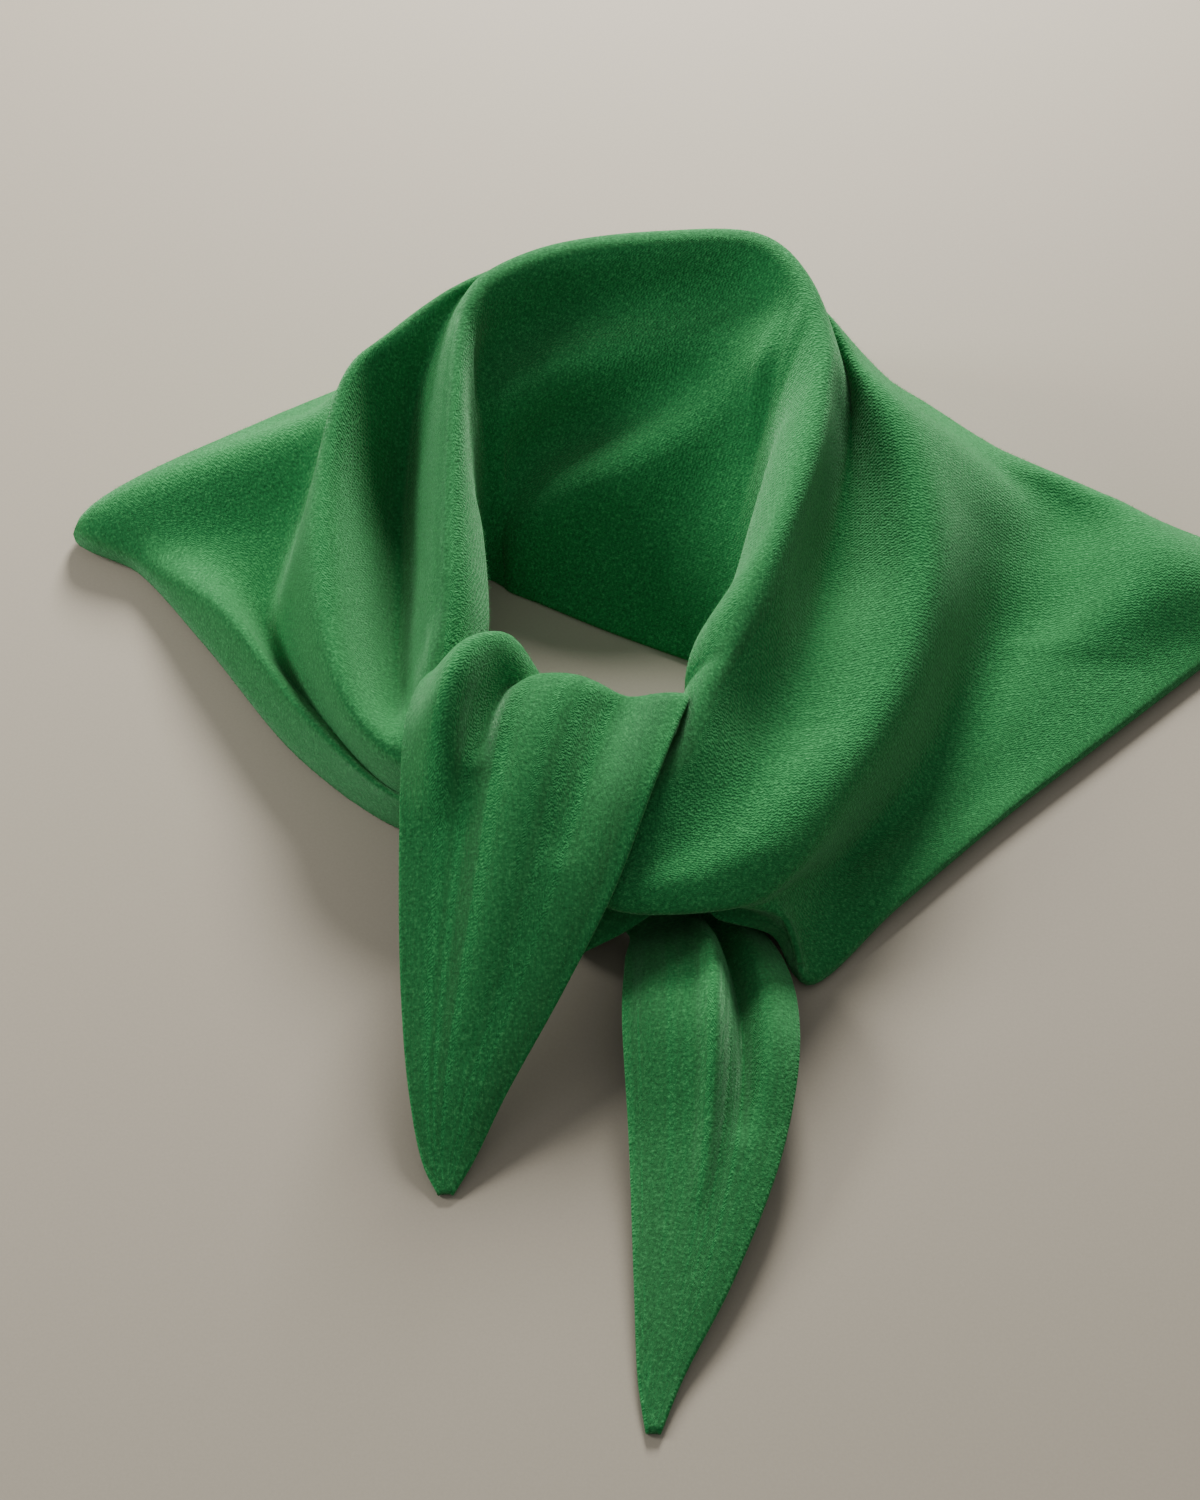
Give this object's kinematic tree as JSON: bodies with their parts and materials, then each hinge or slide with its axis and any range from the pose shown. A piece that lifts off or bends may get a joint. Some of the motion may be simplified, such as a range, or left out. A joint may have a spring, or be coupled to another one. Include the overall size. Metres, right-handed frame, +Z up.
{
  "type": "triangle scarf",
  "caption": "Knitted triangle scarf tied in a loose half knot, lying as a standing neck loop with two pointed tails.",
  "frame": {"origin": "on the table under the middle of the scarf's outline", "axes": "+Z up from the table; +X to the right and +Y to the back as seen from the tails"},
  "size_m": [0.5568, 0.5794, 0.1002],
  "materials": {
    "green_knit": "milled wool knit with a soft nap"
  },
  "bodies": {
    "root": {"scarf_cloth": "green_knit"}
  },
  "joints": []
}
